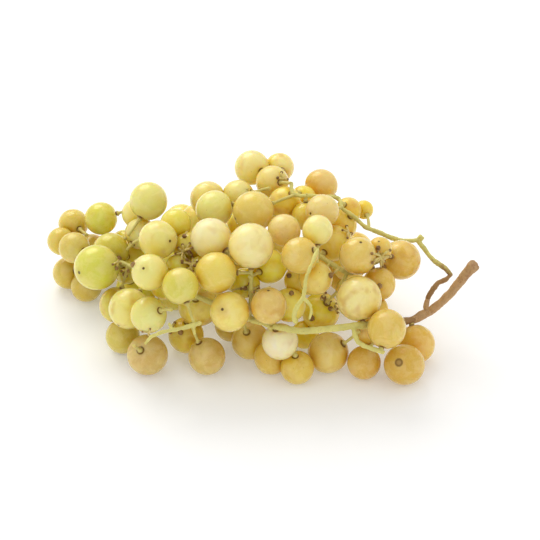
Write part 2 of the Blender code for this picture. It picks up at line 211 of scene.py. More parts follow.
class StemSettings(bpy.types.PropertyGroup):
    green: colour_setting("Green Stem", "Fresh stem", (0.64, 0.58, 0.17))
    brown: colour_setting("Browned Stem", "Dried joints and ends of the stems", (0.20, 0.095, 0.03))
    wood: colour_setting("Woody Stalk", "The stalk that the bunch hung by", (0.50, 0.31, 0.14))
    voxel: number_setting("Fineness", "Edge length of a stem's faces", 0.00033, 0.0002, unit="LENGTH")
    roughen: number_setting("Roughness Depth", "Height of a stem's bumps and ridges",
                            0.00028, 0, unit="LENGTH")
    slimmer: number_setting("Slimmer Laterals", "How much thinner the front stems are",
                            0.00022, 0, unit="LENGTH")


class StalkSettings(bpy.types.PropertyGroup):
    thickness: number_setting("Thickness", "Scale of every berry stalk's thickness", 1.0, 0.2, max=3)
    reach: number_setting("Reach", "Longest berry stalk", 0.0075, 0.002, unit="LENGTH")
    head_size: number_setting("Dried Berry Size", "Scale of the dried berries", 1.15, 0.3, max=2)
    wrinkle: number_setting("Wrinkle Depth", "Depth of the dried berries' wrinkles, as a share of their "
                            "radius", 0.32, 0, max=0.6, subtype="FACTOR")


class StageSettings(bpy.types.PropertyGroup):
    floor: colour_setting("Floor", "Colour of the floor", (0.84, 0.84, 0.84))
    glow: number_setting("Floor Glow", "Light from beneath the floor", 0.2, 0)
    sky: number_setting("Surround Light", "Brightness of the white surroundings", 0.85, 0)
    key: number_setting("Key Light", "Power of the soft key light in watts", 4.0, 0)
    key_width: number_setting("Key Light Width", "Width of the soft key light", 0.7, 0.01, unit="LENGTH")


class Value:
    """A node's output that sums can be done on."""

    def __init__(self, nodes, socket):
        self.nodes = nodes
        self.socket = socket

    def sum(self, operation, *values):
        return self.nodes.value("ShaderNodeMath", {"operation": operation}, dict(enumerate(values)))

    def __add__(self, other):
        return self.sum("ADD", self, other)

    __radd__ = __add__

    def __sub__(self, other):
        return self.sum("SUBTRACT", self, other)

    def __rsub__(self, other):
        return self.sum("SUBTRACT", other, self)

    def __mul__(self, other):
        return self.sum("MULTIPLY", self, other)

    __rmul__ = __mul__

    def unsigned(self):
        return self.sum("ABSOLUTE", self)

    def between(self, low, high):
        """0 below low, 1 above high and smooth between them."""
        return self.nodes.value("ShaderNodeMapRange", {"interpolation_type": "SMOOTHSTEP"},
                                {0: self, 1: low, 2: high})


class Nodes:
    """Adds nodes to a tree."""

    def __init__(self, tree):
        self.tree = tree

    def add(self, kind, settings=None, inputs=None):
        """A new node with its settings, then the values or links of its sockets."""
        node = self.tree.nodes.new(kind)
        for name, setting in (settings or {}).items():
            setattr(node, name, setting)
        for key, value in (inputs or {}).items():
            value = value.socket if isinstance(value, Value) else value
            if isinstance(value, bpy.types.NodeSocket):
                self.tree.links.new(value, node.inputs[key])
            else:
                node.inputs[key].default_value = value
        return node

    def value(self, kind, settings=None, inputs=None, output=0):
        return Value(self, self.add(kind, settings, inputs).outputs[output])

    def mix(self, factor, first, second, blend="MIX"):
        """A colour between two colours."""
        return self.value("ShaderNodeMix", {"data_type": "RGBA", "blend_type": blend},
                          {0: factor, 6: rgba(first), 7: rgba(second)}, output=2)

    def noise(self, place, scale, detail=2.0, roughness=0.5, distortion=0.0):
        return self.value("ShaderNodeTexNoise", None, {"Vector": place, "Scale": scale, "Detail": detail,
                          "Roughness": roughness, "Distortion": distortion})

    def attribute(self, name, output="Vector"):
        return self.value("ShaderNodeAttribute", {"attribute_name": name}, None, output)

    def stretched(self, place, scale):
        """A place scaled differently along its axes."""
        return self.value("ShaderNodeVectorMath", {"operation": "MULTIPLY"}, {0: place, 1: scale})

    def parts(self, place):
        split = self.add("ShaderNodeSeparateXYZ", None, {0: place})
        return [Value(self, output) for output in split.outputs]


def rgba(colour):
    """A colour with its opacity, or the link as it is."""
    if isinstance(colour, (Value, bpy.types.NodeSocket)):
        return colour
    return (*colour[:3], 1.0)


def new_material(name):
    """A material holding only its output, and the nodes to build it with."""
    made = bpy.data.materials.new(name)
    made.use_nodes = True
    made.node_tree.nodes.clear()
    return made, Nodes(made.node_tree)


def finish_material(nodes, inputs, settings=None):
    """Ends a material with its shader."""
    shader = nodes.add("ShaderNodeBsdfPrincipled", settings, inputs)
    nodes.add("ShaderNodeOutputMaterial", None, {"Surface": shader.outputs[0]})


def skin_material():
    """Translucent grape skin: mottled, veined, with bloom, small dots, a tip scar, a stalk ring and painted
    golden shade in the creases between berries.
    """
    settings = bpy.context.scene.grape_berries
    made, nodes = new_material("grape_skin")
    spot = nodes.attribute("berry_spot")
    unit = nodes.attribute("berry_unit")
    skin = nodes.attribute("berry_skin", "Color")
    # the first part is the mask of the painted crease shade; speckle and blush are the skin's own marks
    crease, speckle, blush = nodes.parts(nodes.attribute("berry_kind"))
    _, _, along = nodes.parts(unit)

    broad = nodes.noise(spot, 0.14, 1.0)
    mottle = nodes.noise(spot, 0.55, 3.0, 0.55)
    fine = nodes.noise(spot, 2.6, 3.0, 0.6)
    golden = nodes.mix(1.0, skin, (1.0, 0.86, 0.6), "MULTIPLY")
    colour = nodes.mix(broad.between(0.34, 0.7) * 0.30, skin, golden)
    colour = nodes.mix(mottle.between(0.40, 0.80) * 0.10, colour, (0.92, 0.90, 0.50))
    smudge = nodes.noise(spot, 0.2, 1.0, 0.5)
    colour = nodes.mix(smudge.between(0.46, 0.80) * blush, colour, settings.amber_skin)

    veins = nodes.noise(nodes.stretched(unit, (7.0, 7.0, 1.6)), 1.6, 4.0, 0.65, 0.6)
    vein_lines = 1 - ((veins - 0.5).unsigned() * 26).between(0.0, 1.0)
    colour = nodes.mix(vein_lines * 0.16, colour, (0.96, 0.93, 0.60))

    dots = nodes.value("ShaderNodeTexVoronoi", {"feature": "F1"}, {"Vector": spot, "Scale": 0.42})
    dot_mask = (1 - dots.between(0.045, 0.085)) * speckle
    colour = nodes.mix(dot_mask * 0.75, colour, (0.30, 0.16, 0.03))
    specks = nodes.value("ShaderNodeTexVoronoi", {"feature": "F1"}, {"Vector": spot, "Scale": 1.5})
    speck_mask = (1 - specks.between(0.05, 0.13)) * fine.between(0.5, 0.62)
    colour = nodes.mix(speck_mask * 0.3, colour, (0.42, 0.32, 0.07))

    # painted shade in the creases: darker and more golden where the skin lies close to a neighbour
    deeper = nodes.mix(1.0, colour, (1.04, 0.86, 0.16), "MULTIPLY")
    colour = nodes.mix(crease * 0.9, colour, deeper)
    wax = nodes.noise(spot, 0.16, 3.0, 0.55, 0.5).between(0.36, 0.74)
    # the white bloom is held back in the creases, as part of the painted crease shade
    colour = nodes.mix(wax * (1 - crease) * settings.bloom, colour, (0.94, 0.94, 0.92))

    tip = (-1.0 * along).between(0.9955, 0.9985)
    tip_ring = (-1.0 * along).between(0.94, 0.992)
    stalk_ring = along.between(0.972, 0.984) * (1 - along.between(0.990, 0.997) * 0.5)
    colour = nodes.mix(tip_ring * 0.4 * mottle, colour, (0.50, 0.36, 0.07))
    colour = nodes.mix(tip * 0.95, colour, (0.10, 0.05, 0.015))
    colour = nodes.mix(stalk_ring * 0.85, colour, (0.22, 0.12, 0.03))
    roughness = 0.20 + wax * 0.20 + (fine - 0.5) * 0.08 + tip_ring * 0.15
    bump = nodes.add("ShaderNodeBump", None, {"Strength": 0.25, "Distance": 0.00004,
                     "Height": fine * 0.6 + mottle * 0.8 + vein_lines * 0.15 - dot_mask * 0.5})
    finish_material(nodes, {
        "Base Color": colour, "Roughness": roughness, "Normal": bump.outputs[0], "IOR": 1.42,
        "Subsurface Weight": 1.0, "Subsurface Radius": (1.0, 0.78, 0.24), "Subsurface Scale": 0.008,
        "Specular IOR Level": 0.4, "Sheen Weight": 0.12, "Sheen Roughness": 0.3,
        "Coat Weight": 1.0, "Coat Roughness": 0.12, "Coat IOR": 1.33,
        "Coat Tint": rgba(settings.depth_tint),
        "Sheen Tint": (1.0, 0.95, 0.72, 1.0),
    }, {"subsurface_method": "RANDOM_WALK"})
    return made


def stem_material(name, base, end, patchy):
    """Stem skin: ridged and mottled, browned where the wood attribute says."""
    made, nodes = new_material(name)
    place = nodes.value("ShaderNodeTexCoord", None, None, "Object")
    wood = nodes.attribute("stem_wood", "Fac")
    broad = nodes.noise(place, 260.0, 3.0, 0.6)
    fine = nodes.noise(place, 1700.0, 4.0, 0.65)
    cracks = nodes.noise(nodes.stretched(place, (1.0, 2.2, 2.2)), 900.0, 5.0, 0.7, 0.5)
    brown = (wood + (broad - 0.5) * 0.9 + (fine - 0.5) * 0.35).between(0.42, 0.75)
    colour = nodes.mix(broad.between(0.35, 0.65) * 0.5, base, [share * 1.28 for share in base])
    colour = nodes.mix(fine.between(0.56, 0.7) * patchy, colour, end)
    colour = nodes.mix(brown * 0.92, colour, nodes.mix(fine, end, [share * 2.1 for share in end]))
    colour = nodes.mix(cracks.between(0.60, 0.72) * 0.55, colour, (0.10, 0.055, 0.02))
    bump = nodes.add("ShaderNodeBump", None, {"Strength": 0.7, "Distance": 0.00018,
                     "Height": fine * 0.6 + cracks * 0.8})
    finish_material(nodes, {
        "Base Color": colour, "Roughness": 0.48 + fine * 0.3, "Normal": bump.outputs[0],
        "Subsurface Weight": 0.25, "Subsurface Radius": (1.0, 0.8, 0.3), "Subsurface Scale": 0.0008,
    })
    return made


def dried_material():
    """Dried berry: dark wrinkled brown with paler ridges."""
    made, nodes = new_material("dried_berry")
    place = nodes.value("ShaderNodeTexCoord", None, None, "Object")
    broad = nodes.noise(place, 420.0, 3.0, 0.6)
    fine = nodes.noise(place, 2300.0, 4.0, 0.6)
    colour = nodes.mix(broad.between(0.3, 0.7), (0.17, 0.08, 0.02), (0.40, 0.23, 0.07))
    colour = nodes.mix(fine.between(0.55, 0.7) * 0.6, colour, (0.58, 0.40, 0.15))
    bump = nodes.add("ShaderNodeBump", None, {"Strength": 0.6, "Distance": 0.0001, "Height": fine})
    finish_material(nodes, {"Base Color": colour, "Roughness": 0.45 + fine * 0.35,
                            "Normal": bump.outputs[0]})
    return made


def floor_material():
    """Plain matte floor with the faintest unevenness."""
    settings = bpy.context.scene.grape_stage
    made, nodes = new_material("floor")
    place = nodes.value("ShaderNodeTexCoord", None, None, "Object")
    shade = nodes.noise(place, 3.0, 2.0)
    colour = nodes.mix(shade * 0.2, settings.floor, [share * 0.985 for share in settings.floor])
    finish_material(nodes, {"Base Color": colour, "Roughness": 0.8, "Specular IOR Level": 0.1,
                            "Emission Color": (1.0, 1.0, 1.0, 1.0), "Emission Strength": settings.glow})
    return made


def within(share):
    """A share kept between 0 and 1."""
    return max(0.0, min(1.0, share))


def in_view(across, up, back):
    """A place given in the front view, in the part's own millimetres."""
    spread = 1 + back / EYE_DISTANCE
    return across * spread * ACROSS + up * spread * UP + back * BACK + VIEW_ORIGIN


def eye_place():
    """Where the front view is seen from, in millimetres."""
    return Vector(in_view(0, 0, -EYE_DISTANCE + 1e-6))


def corners_of(node):
    """The different corners of a CAD piece, in millimetres."""
    mesh = frame["nodes"][node].data
    places = np.empty(len(mesh.vertices) * 3)
    mesh.vertices.foreach_get("co", places)
    return np.unique(np.round(places.reshape(-1, 3) / MM, 4), axis=0)


def sphere_through(points):
    """Centre and radius of the sphere that fits some points best."""
    middle = points.mean(0)
    local = points - middle
    rows = np.hstack((2 * local, np.ones((len(local), 1))))
    answer = np.linalg.lstsq(rows, (local ** 2).sum(1), rcond=None)[0]
    return answer[:3] + middle, math.sqrt(max(answer[3] + answer[:3] @ answer[:3], 0.0))


def berries_in(node):
    """Centre, radius and stalk end, where it shows, of every berry in a CAD piece."""
    every = corners_of(node)
    left = every
    found = []
    while len(left) >= FEWEST_CORNERS:
        best = None
        for seed in left:
            near = left[np.argsort(np.linalg.norm(left - seed, axis=1))[:SEED_CORNERS]]
            centre, radius = sphere_through(near)
            if not 3.5 < radius < 10.5:
                continue
            on = np.abs(np.linalg.norm(left - centre, axis=1) - radius) < ON_SPHERE
            if best is None or on.sum() > best.sum():
                best = on
        if best is None or best.sum() < FEWEST_CORNERS:
            break
        centre, radius = sphere_through(left[best])
        left = left[np.abs(np.linalg.norm(left - centre, axis=1) - radius) >= ON_SPHERE]
        found.append((centre, radius))
    berries = []
    for centre, radius in found:
        depth = np.linalg.norm(every - centre, axis=1) / radius
        pits = every[np.abs(depth - PIT_DEPTH) < 0.0006]
        berries.append((centre, radius, (pits[0] - centre) / radius if len(pits) else None))
    if not berries:
        raise RuntimeError("no berry was found in " + node)
    return berries


def stem_nodes():
    return [name for name in frame["nodes"] if not name.startswith("berry")]


def every_berry():
    """All berries of the bunch, each with its piece, centre, radius and direction of its stalk."""
    if every_berry.known is None:
        stems = np.vstack([corners_of(name) for name in stem_nodes()])
        every_berry.known = []
        for node in sorted(name for name in frame["nodes"] if name.startswith("berry")):
            for centre, radius, stalk in berries_in(node):
                if stalk is None:
                    nearest = stems[np.argmin(np.linalg.norm(stems - centre, axis=1))]
                    stalk = nearest - centre
                every_berry.known.append((node, centre, radius, stalk / np.linalg.norm(stalk)))
    return every_berry.known


every_berry.known = None


def unit_sphere(segments, rings):
    """Directions over a sphere from pole to pole, closer together at the poles, and its faces."""
    share = np.arange(1, rings) / rings
    fall = np.pi * share - 0.2 * np.sin(2 * np.pi * share)
    turn = 2 * np.pi * np.arange(segments) / segments
    ring = np.stack((np.outer(np.sin(fall), np.cos(turn)), np.outer(np.sin(fall), np.sin(turn)),
                     np.outer(np.cos(fall), np.ones(segments))), axis=-1).reshape(-1, 3)
    units = np.vstack(((0, 0, 1), ring, (0, 0, -1)))
    faces = []
    last = len(units) - 1
    for place in range(segments):
        after = (place + 1) % segments
        faces.append((0, 1 + place, 1 + after))
        for row in range(rings - 2):
            near = 1 + row * segments
            far = near + segments
            faces.append((near + place, far + place, far + after, near + after))
        near = 1 + (rings - 2) * segments
        faces.append((near + place, last, near + after))
    return units, faces


def soft_min(first, second, width):
    """The lesser of two lengths, rounded where they meet."""
    blend = np.maximum(width - np.abs(first - second), 0) / width
    return np.minimum(first, second) - blend * blend * width / 4


def berry_shape(index, units, settings):
    """Points of one berry, how far each is from its middle and how near it lies to a neighbour, the mask of
    the painted crease shade.
    """
    berries = every_berry()
    node, centre, radius, stalk = berries[index]
    rng = np.random.default_rng(SEED + index)
    side = np.cross(stalk, rng.normal(size=3))
    side /= np.linalg.norm(side)
    axes = np.array((side, np.cross(stalk, side), stalk))
    along = units[:, 2]
    # swollen, a little longer than wide, with a few broad lobes
    reach = np.full(len(units), 1 + settings.swell)
    reach += 0.012 * (along ** 2 - 0.6)
    for _ in range(5):
        pole = rng.normal(size=3)
        pole /= np.linalg.norm(pole)
        reach += settings.uneven * rng.uniform(-1, 0.6) * (np.clip(units @ pole, 0, 1) ** 2 - 0.2)
    # the hollow and rim at the stalk, the pit at the tip
    fall = np.arccos(np.clip(along, -1, 1))
    reach += 0.006 * np.exp(-((fall - 0.40) / 0.13) ** 2) - 0.050 * np.exp(-(fall / 0.24) ** 2)
    rise = np.pi - fall
    reach += 0.004 * np.exp(-((rise - 0.13) / 0.05) ** 2) - 0.020 * np.exp(-(rise / 0.08) ** 2)
    reach *= radius
    # pressed flat where a neighbour or the table is
    world = units @ axes
    soft = settings.softness / MM
    crease = np.zeros(len(units))
    for other, (other_node, other_centre, other_radius, _) in enumerate(berries):
        apart = np.linalg.norm(other_centre - centre)
        if other == index or apart > radius + other_radius + 4.0:
            continue
        clear = np.linalg.norm(centre + world * radius - other_centre, axis=1) - other_radius
        # nearness to this neighbour sets the painted golden shade in the crease
        crease = np.maximum(crease, np.exp(-np.maximum(clear, 0) / settings.crease_shade_reach * MM))
        gap = -0.1 if other_node == node else 0.08
        plane = (apart ** 2 + radius ** 2 - other_radius ** 2) / (2 * apart) - gap / 2
        facing = world @ ((other_centre - centre) / apart)
        limit = np.where(facing > 0.3, plane / np.maximum(facing, 0.3), 1e3)
        reach = soft_min(reach, limit, soft)
    down = -world[:, 2]
    limit = np.where(down > 0.3, (centre[2] - TABLE_GAP) / np.maximum(down, 0.3), 1e3)
    reach = soft_min(reach, limit, soft)
    return centre + world * reach[:, None], reach, crease


def skin_of(index, settings):
    """Base colour of a berry, how speckled it is and how strong its amber smudges are."""
    node, centre, _, _ = every_berry()[index]
    rng = np.random.default_rng(SEED * 7 + index)
    green, pale, gold, amber, peach, olive, waxy, painted_glow = [np.array(colour) for colour in (
        settings.green_skin, settings.pale_skin, settings.gold_skin, settings.amber_skin, settings.peach_skin,
        settings.olive_skin, settings.waxy_skin, settings.painted_glow_skin)]
    here = centre[0] + rng.normal(0, 7)
    if here < MIDDLE_X:
        colour = green + (pale - green) * np.clip((here - TIP_X) / (MIDDLE_X - TIP_X), 0, 1)
    else:
        colour = pale + (gold - pale) * np.clip((here - MIDDLE_X) / (STALK_X - MIDDLE_X), 0, 1)
    colour = colour + (pale - colour) * PALER.get(node, 0.0)
    colour = colour + (peach - colour) * PEACH.get(node, 0.0) * rng.uniform(0.7, 1.1)
    colour = colour + (olive - colour) * OLIVE.get(node, 0.0) * rng.uniform(0.6, 1)
    colour = colour + (amber - colour) * RIPER.get(node, rng.uniform(0, 0.12))
    colour = colour + (waxy - colour) * WAXY.get(node, 0.0)
    # painted glow of light through the neighbours of deeper berries
    colour = colour + (painted_glow - colour) * PAINTED_GLOW.get(node, 0.0)
    colour = colour * rng.uniform(0.95, 1.04)
    colour = colour * np.array((1, rng.uniform(0.98, 1.02), rng.uniform(0.85, 1.2)))
    # the clear outer skin darkens the colour again by its tint
    colour = np.minimum(colour / np.array(settings.depth_tint) ** 1.6, 0.97)
    speckle = rng.choice((0.0, 0.35, 1.0), p=(0.45, 0.35, 0.2))
    blush = rng.choice((0.05, 0.25, 0.5), p=(0.4, 0.35, 0.25))
    return colour, (speckle, blush)


def berry_piece(node, material):
    """One visual piece for a CAD piece made of one or more berries."""
    settings = bpy.context.scene.grape_berries
    units, faces = unit_sphere(settings.segments, settings.rings)
    members = [index for index, berry in enumerate(every_berry()) if berry[0] == node]
    points, spots, directions, colours, marks_and_crease_shade, all_faces = [], [], [], [], [], []
    for index in members:
        start = sum(len(part) for part in points)
        shape, reach, crease = berry_shape(index, units, settings)
        colour, kind = skin_of(index, settings)
        points.append(shape * MM)
        spots.append(units * reach[:, None] + 37.0 * index)
        directions.append(units)
        colours.append(np.tile((*colour, 1.0), (len(units), 1)))
        marks_and_crease_shade.append(np.column_stack((crease, np.tile(kind, (len(units), 1)))))
        all_faces += [tuple(start + corner for corner in face) for face in faces]
    mesh = bpy.data.meshes.new(node + "_skin")
    mesh.from_pydata(np.vstack(points).tolist(), [], all_faces)
    for name, kind, parts in (
            ("berry_spot", "FLOAT_VECTOR", spots), ("berry_unit", "FLOAT_VECTOR", directions),
            ("berry_kind", "FLOAT_VECTOR", marks_and_crease_shade), ("berry_skin", "FLOAT_COLOR", colours)):
        layer = mesh.attributes.new(name, kind, "POINT")
        field = "color" if kind == "FLOAT_COLOR" else "vector"
        layer.data.foreach_set(field, np.vstack(parts).astype(np.float32).ravel())
    mesh.shade_smooth()
    mesh.materials.append(material)
    made = new_piece(node + "_fruit", mesh)
    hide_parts(node)
    across = np.mean([every_berry()[index][1][0] for index in members])
    return made


def new_piece(name, mesh):
    """An object for a finished mesh, which rides with the bunch."""
    made = bpy.data.objects.new(name, mesh)
    bpy.context.scene.collection.objects.link(made)
    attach(made, BODY)
    return made


def plain_mesh(made, name):
    """The mesh of an object after its modifiers, and the object gone."""
    bpy.context.view_layer.update()
    graph = bpy.context.evaluated_depsgraph_get()
    mesh = bpy.data.meshes.new_from_object(made.evaluated_get(graph))
    mesh.name = name
    old = made.data
    bpy.data.objects.remove(made)
    bpy.data.meshes.remove(old)
    return mesh


def merged_copy(node):
    """A copy of a CAD piece's mesh with its corners joined."""
    bm = bmesh.new()
    bm.from_mesh(frame["nodes"][node].data)
    bmesh.ops.remove_doubles(bm, verts=bm.verts, dist=2e-6)
    bmesh.ops.recalc_face_normals(bm, faces=bm.faces)
    mesh = bpy.data.meshes.new(node + "_copy")
    bm.to_mesh(mesh)
    bm.free()
    return mesh


def stem_piece(node, material, woody, slimmer=0.0):
    """A finely meshed, ridged stem in place of a CAD stem."""
    settings = bpy.context.scene.grape_stems
    shape = bpy.data.objects.new(node + "_shape", merged_copy(node))
    bpy.context.scene.collection.objects.link(shape)
    remesh = shape.modifiers.new("remesh", "REMESH")
    remesh.mode = "VOXEL"
    remesh.voxel_size = settings.voxel
    smooth = shape.modifiers.new("smooth", "SMOOTH")
    smooth.factor = 0.5
    smooth.iterations = 6
    mesh = plain_mesh(shape, node + "_bark")
    depth = settings.roughen
    normals = [vert.normal.copy() for vert in mesh.vertices]
    wood = []
    for vert, normal in zip(mesh.vertices, normals):
        place = vert.co / MM
        swell = noise.noise(place * 0.33) * 1.1
        swell += noise.noise(Vector((place.x * 0.5, place.y, place.z)) * 1.5) * 0.6
        ridge = 1 - abs(noise.noise(Vector((place.x * 0.4, place.y * 1.1, place.z * 1.1)) * 2.2)) * 2
        wood.append(woody(place))
        vert.co += normal * (depth * (swell + 0.35 * ridge + 0.35) - slimmer)
    layer = mesh.attributes.new("stem_wood", "FLOAT", "POINT")
    layer.data.foreach_set("value", np.array(wood, dtype=np.float32))
    mesh.shade_smooth()
    mesh.materials.clear()
    mesh.materials.append(material)
    made = new_piece(node + "_stem", mesh)
    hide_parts(node)
    return made


def new_tree(name, inputs):
    """A Geometry Nodes tree with named inputs, what adds its nodes, and the sockets that it is given."""
    tree = bpy.data.node_groups.new(name, "GeometryNodeTree")
    face = tree.interface
    face.new_socket("Geometry", in_out="INPUT", socket_type="NodeSocketGeometry")
    for label, kind, default in inputs:
        socket = face.new_socket(label, in_out="INPUT", socket_type="NodeSocket" + kind)
        socket.default_value = default
    face.new_socket("Material", in_out="INPUT", socket_type="NodeSocketMaterial")
    face.new_socket("Geometry", in_out="OUTPUT", socket_type="NodeSocketGeometry")
    nodes = Nodes(tree)
    return tree, nodes, nodes.add("NodeGroupInput").outputs


def finish_tree(nodes, shape, given):
    """Ends a tree with its instances made real and its material set."""
    whole = nodes.value("GeometryNodeRealizeInstances", None, {0: shape})
    painted = nodes.value("GeometryNodeSetMaterial", None, {"Geometry": whole, "Material": given["Material"]})
    nodes.add("NodeGroupOutput", None, {0: painted})


def point_layer(nodes, name, kind):
    """What the points say under a name."""
    return nodes.value("GeometryNodeInputNamedAttribute", {"data_type": kind}, {"Name": name})


def stalk_tree():
    """Round stalks along edges, as thick as their points say."""
    tree, nodes, given = new_tree("stalks", (("Sides", "Int", 10), ("Thickness", "Float", 1.0)))
    curve = nodes.value("GeometryNodeMeshToCurve", None, {"Mesh": given["Geometry"]})
    girth = point_layer(nodes, "girth", "FLOAT")
    section = nodes.value("GeometryNodeCurvePrimitiveCircle", {"mode": "RADIUS"},
                          {"Resolution": given["Sides"], "Radius": 1.0})
    tube = nodes.value("GeometryNodeCurveToMesh", None, {
        "Curve": curve, "Profile Curve": section, "Scale": girth * Value(nodes, given["Thickness"]),
        "Fill Caps": True})
    finish_tree(nodes, nodes.value("GeometryNodeSetShadeSmooth", None, {0: tube}), given)
    return tree


def head_tree():
    """Small wrinkled heads on points, turned the way that each point says."""
    tree, nodes, given = new_tree("dried_heads", (
        ("Wrinkle Depth", "Float", 0.3), ("Size", "Float", 1.0), ("Seed", "Int", SEED)))
    ball = nodes.value("GeometryNodeMeshIcoSphere", None, {"Radius": 1.0, "Subdivisions": 3})
    place = nodes.value("GeometryNodeInputPosition")
    ripple = nodes.noise(nodes.stretched(place, (2.6, 2.6, 0.9)), 1.0, 2.0, 0.5, 0.6)
    depth = (ripple - 0.55) * Value(nodes, given["Wrinkle Depth"]) * 2.0
    offset = nodes.value("ShaderNodeVectorMath", {"operation": "SCALE"}, {0: place, "Scale": depth})
    wrinkled = nodes.value("GeometryNodeSetPosition", None, {"Geometry": ball, "Offset": offset})
    smooth = nodes.value("GeometryNodeSetShadeSmooth", None, {0: wrinkled})
    spin = nodes.value("FunctionNodeRandomValue", {"data_type": "FLOAT_VECTOR"}, {
        0: (-0.6, -0.6, 0.0), 1: (0.6, 0.6, 6.28), "Seed": given["Seed"]})
    start = nodes.value("FunctionNodeEulerToRotation", None, {0: spin})
    turned = nodes.value("FunctionNodeAlignRotationToVector", {"axis": "Z"}, {
        "Rotation": start, "Vector": point_layer(nodes, "turn", "FLOAT_VECTOR"), "Factor": 0.85})
    heads = nodes.value("GeometryNodeInstanceOnPoints", None, {
        "Points": given["Geometry"], "Instance": smooth, "Rotation": turned,
        "Scale": point_layer(nodes, "girth", "FLOAT") * Value(nodes, given["Size"])})
    finish_tree(nodes, heads, given)
    return tree


class Strands:
    """Points and edges of thin stalks, with their half thicknesses and how brown they are."""

    def __init__(self):
        self.points, self.edges, self.girths, self.woods = [], [], [], []

    def add(self, points, girths, woods):
        """One stalk through its points."""
        start = len(self.points)
        self.edges += [(start + step, start + step + 1) for step in range(len(points) - 1)]
        self.points += points
        self.girths += girths
        self.woods += woods

    def grown(self, name, material, sides, thickness=1.0):
        """The finished piece, as round stalks."""
        mesh = grown(name, self.points, self.edges, self.girths, {"stem_wood": self.woods}, stalk_tree(),
                     {"Sides": sides, "Thickness": thickness, "Material": material})
        return new_piece(name, mesh)


def grown(name, points, edges, girths, layers, tree, inputs):
    """A finished mesh from points and edges through a Geometry Nodes tree."""
    mesh = bpy.data.meshes.new(name + "_lines")
    mesh.from_pydata([tuple(point * MM) for point in points], edges, [])
    layer = mesh.attributes.new("girth", "FLOAT", "POINT")
    layer.data.foreach_set("value", np.array(girths, dtype=np.float32) * MM)
    for label, values in layers.items():
        values = np.array(values, dtype=np.float32)
        layer = mesh.attributes.new(label, "FLOAT" if values.ndim == 1 else "FLOAT_VECTOR", "POINT")
        layer.data.foreach_set("value" if values.ndim == 1 else "vector", values.ravel())
    made = bpy.data.objects.new(name + "_lines", mesh)
    bpy.context.scene.collection.objects.link(made)
    modifier = made.modifiers.new(name, "NODES")
    modifier.node_group = tree
    names = {item.name: item.identifier for item in tree.interface.items_tree if item.in_out == "INPUT"}
    for key, value in inputs.items():
        modifier[names[key]] = value
    return plain_mesh(made, name)


def bunch_surface(names):
    """A surface of all the visual pieces whose names end as given, for casting rays at."""
    corners = []
    faces = []
    for made in bpy.data.objects:
        if made.type == "MESH" and made.name.endswith(names):
            start = len(corners)
            corners += [vert.co / MM for vert in made.data.vertices]
            faces += [tuple(start + corner for corner in face.vertices) for face in made.data.polygons]
    return BVHTree.FromPolygons(corners, faces)


def seen_at(surface, across, up):
    """The first place that the front view's line of sight meets, if any, and its direction."""
    eye = eye_place()
    aim = (Vector(in_view(across, up, 0)) - eye).normalized()
    place, _, _, _ = surface.ray_cast(eye, aim)
    return place, aim


def above_table(point, clear):
    """A point raised, where it needs it, to lie clear of the table."""
    return np.array((point[0], point[1], max(point[2], clear)))


class GRAPES_OT_single_berries(bpy.types.Operator):
    """Makes the berries that stand clear of each other"""
    bl_idname = "grapes.single_berries"
    bl_label = "Single Berries"

    def execute(self, context):
        material = skin_material()
        for node in sorted(frame["nodes"]):
            if node.startswith("berry_") and not node.startswith("berry_group"):
                berry_piece(node, material)
        return {"FINISHED"}


class GRAPES_OT_pressed_berries(bpy.types.Operator):
    """Makes the groups of berries that grew pressed together"""
    bl_idname = "grapes.pressed_berries"
    bl_label = "Pressed Berries"

    def execute(self, context):
        material = bpy.data.materials["grape_skin"]
        for node in sorted(frame["nodes"]):
            if node.startswith("berry_group"):
                berry_piece(node, material)
        return {"FINISHED"}


class GRAPES_OT_stems(bpy.types.Operator):
    """Makes the green stems inside and over the bunch"""
    bl_idname = "grapes.stems"
    bl_label = "Green Stems"

    def execute(self, context):
        settings = context.scene.grape_stems
        material = stem_material("green_stem", settings.green, settings.brown, 0.25)

        def woody(place):
            """Green, but brown low down next to the woody stalk"""
            return 0.12 + 0.6 * (within((place.x - 54) / 10) * within((34 - place.z) / 8))

        def painted_shade(place):
            """Browner all over, as painted shade on the stems inside the bunch"""
            return woody(place) + 0.22

        for node in stem_nodes():
            if node != "peduncle":
                # the front and left laterals keep their own green; the other stems are painted browner as
                # shade
                slimmer = settings.slimmer if node in ("left_lateral", "front_lateral") else 0.0
                stem_piece(node, material, woody if slimmer else painted_shade, slimmer)
        return {"FINISHED"}


class GRAPES_OT_peduncle(bpy.types.Operator):
    """Makes the woody stalk that the bunch hung by"""
    bl_idname = "grapes.peduncle"
    bl_label = "Woody Stalk"

    def execute(self, context):
        settings = context.scene.grape_stems
        material = stem_material("woody_stalk", settings.wood, settings.brown, 0.6)

        def woody(place):
            """Browner towards the cut end"""
            return 0.25 + 0.3 * within((place.x - 68) / 20)

        stem_piece("peduncle", material, woody)
        knuckles = Strands()
        for route in KNUCKLES:
            knuckles.add([in_view(across, up, back) for across, up, back, _ in route],
                         [width / 2 for _, _, _, width in route], [0.35] * len(route))
        knuckles.grown("stem_knuckles", material, 16)
        return {"FINISHED"}


